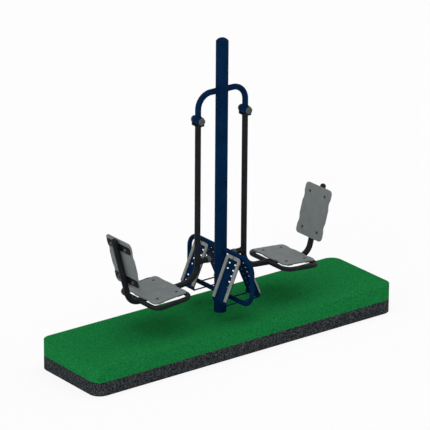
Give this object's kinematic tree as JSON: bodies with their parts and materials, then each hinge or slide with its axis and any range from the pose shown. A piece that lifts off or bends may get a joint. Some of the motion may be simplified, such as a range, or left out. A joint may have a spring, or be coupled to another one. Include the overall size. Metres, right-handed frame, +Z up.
{
  "type": "outdoor double leg press",
  "caption": "Two-seat outdoor leg press: swinging seats hung from an arch on one post, with fixed foot plates between them, on a rubber play surface.",
  "frame": {"origin": "centre of the underside of the rubber surface, on the post's axis", "axes": "+X from the post towards the right-hand seat, +Y towards the rear foot plates, +Z up"},
  "size_m": [2.64, 0.7578, 2.241],
  "materials": {
    "blue_powder_coat": "dark blue powder coat, satin",
    "black_powder_coat": "near-black powder coat, satin",
    "galvanised_steel": "hot-dip galvanised",
    "bearing_steel": "ground bearing steel",
    "zinc_fasteners": "zinc plated",
    "black_bolts": "black oxide bolt heads, satin",
    "grey_board": "solid-coloured grey board, fine satin texture",
    "grey_grip_plastic": "moulded light grey plastic, matt",
    "grey_cap_plastic": "moulded grey plastic, matt",
    "grey_rubber": "moulded grey rubber",
    "green_rubber_surface": "green granule rubber, matt",
    "black_rubber_surface": "black granule rubber, coarse and matt"
  },
  "bodies": {
    "frame": {"safety_surface_top": "green_rubber_surface", "safety_surface_base": "black_rubber_surface", "main_post": "blue_powder_coat", "post_cap": "blue_powder_coat", "base_flange": "galvanised_steel", "flange_gussets": "galvanised_steel", "arch_tube_left": "blue_powder_coat", "arch_tube_right": "blue_powder_coat", "hub_housing_left": "blue_powder_coat", "hub_housing_right": "blue_powder_coat", "hub_bearings_left": "bearing_steel", "hub_bearings_right": "bearing_steel", "foot_loop_front": "blue_powder_coat", "foot_loop_rear": "blue_powder_coat", "foot_plate_front_left": "blue_powder_coat", "foot_plate_front_right": "blue_powder_coat", "foot_plate_rear_left": "blue_powder_coat", "foot_plate_rear_right": "blue_powder_coat", "foot_grips_front_left": "grey_grip_plastic", "foot_grips_front_right": "grey_grip_plastic", "foot_grips_rear_left": "grey_grip_plastic", "foot_grips_rear_right": "grey_grip_plastic", "foot_tie_rods": "blue_powder_coat"},
    "left_arm": {"swing_arm_left": "black_powder_coat", "arm_yoke_left": "black_powder_coat", "pivot_axle_left": "zinc_fasteners", "bearing_sleeve_left": "bearing_steel", "axle_screws_left": "zinc_fasteners", "axle_caps_left": "grey_cap_plastic", "stop_stub_left": "black_powder_coat", "stop_buffer_left": "grey_rubber", "seat_ring_left": "black_powder_coat", "seat_straps_left": "black_powder_coat", "seat_board_left": "grey_board", "seat_bolts_left": "black_bolts", "seat_nuts_left": "zinc_fasteners", "back_straps_left": "black_powder_coat", "back_board_left": "grey_board", "back_bolts_left": "black_bolts", "back_nuts_left": "zinc_fasteners", "tube_cap_left": "black_powder_coat"},
    "right_arm": {"swing_arm_right": "black_powder_coat", "arm_yoke_right": "black_powder_coat", "pivot_axle_right": "zinc_fasteners", "bearing_sleeve_right": "bearing_steel", "axle_screws_right": "zinc_fasteners", "axle_caps_right": "grey_cap_plastic", "stop_stub_right": "black_powder_coat", "stop_buffer_right": "grey_rubber", "seat_ring_right": "black_powder_coat", "seat_straps_right": "black_powder_coat", "seat_board_right": "grey_board", "seat_bolts_right": "black_bolts", "seat_nuts_right": "zinc_fasteners", "back_straps_right": "black_powder_coat", "back_board_right": "grey_board", "back_bolts_right": "black_bolts", "back_nuts_right": "zinc_fasteners", "tube_cap_right": "black_powder_coat"}
  },
  "joints": [
    {"name": "left_swing", "type": "hinge", "parent": "frame", "child": "left_arm", "pos_m": [-0.2055, 0, 1.68], "axis": [0, 1, 0], "range_deg": [-2.67, 25]},
    {"name": "right_swing", "type": "hinge", "parent": "frame", "child": "right_arm", "pos_m": [0.2055, 0, 1.68], "axis": [0, -1, 0], "range_deg": [-2.67, 25]}
  ]
}
